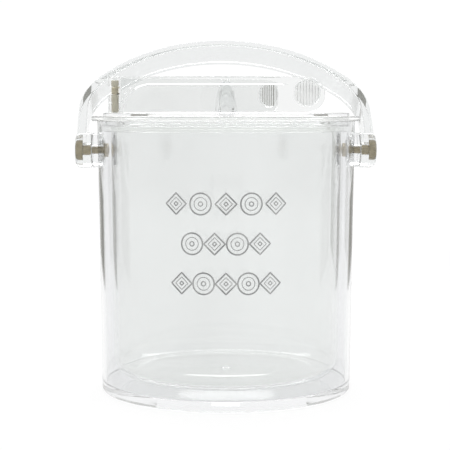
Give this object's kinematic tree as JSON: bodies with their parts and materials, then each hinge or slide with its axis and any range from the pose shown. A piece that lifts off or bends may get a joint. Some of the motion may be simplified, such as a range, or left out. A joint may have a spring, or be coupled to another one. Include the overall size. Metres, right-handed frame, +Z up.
{
  "type": "ice bucket",
  "caption": "Clear double-walled ice bucket with a flanged rim, a lift-off lid with a knob, a swinging arched handle on brass pivot pins, and sprung ridged tongs that lie on the lid.",
  "frame": {"origin": "centre of the flat underside of the base", "axes": "+Z up, +X along the handle's pivot towards the right-hand pin seen from the front, -Y towards the front"},
  "size_m": [0.2126, 0.1906, 0.2511],
  "materials": {
    "clear_acrylic": "polished",
    "brass": "satin",
    "nylon": "natural"
  },
  "bodies": {
    "bucket": {"outer_shell": "clear_acrylic", "inner_liner": "clear_acrylic", "left_pivot_pin": "brass", "right_pivot_pin": "brass", "left_friction_washer": "nylon", "right_friction_washer": "nylon", "left_pivot_nut": "brass", "right_pivot_nut": "brass"},
    "handle": {"handle": "clear_acrylic"},
    "lid": {"lid": "clear_acrylic", "lid_knob": "clear_acrylic"},
    "tongs": {"tong_hinge_pin": "brass", "tong_spring": "brass"},
    "front_arm": {"front_tong_arm": "clear_acrylic"},
    "back_arm": {"back_tong_arm": "clear_acrylic"}
  },
  "joints": [
    {"name": "handle_swing", "type": "hinge", "parent": "bucket", "child": "handle", "pos_m": [0, 0, 0.17], "axis": [1, 0, 0], "range_deg": [-62, 152]},
    {"name": "lid_lift", "type": "slide", "parent": "bucket", "child": "lid", "axis": [0, 0, 1], "range_m": [0, 0.02]},
    {"name": "tongs_lift", "type": "slide", "parent": "lid", "child": "tongs", "axis": [0, -0.342, 0.9397], "range_m": [0, 0.06]},
    {"name": "front_arm_squeeze", "type": "hinge", "parent": "tongs", "child": "front_arm", "pos_m": [-0.0776, -0.02, 0.2], "axis": [0, 0, 1], "range_deg": [0, 19.4], "stiffness_Nm_per_rad": 0.05, "springref_deg": -11.46},
    {"name": "back_arm_squeeze", "type": "hinge", "parent": "tongs", "child": "back_arm", "pos_m": [-0.0776, -0.02, 0.2], "axis": [0, 0, 1], "range_deg": [-19.4, 0], "stiffness_Nm_per_rad": 0.05, "springref_deg": 11.46}
  ],
  "couplings": [
    {"joint": "back_arm_squeeze", "follows": "front_arm_squeeze", "ratio": -1}
  ]
}
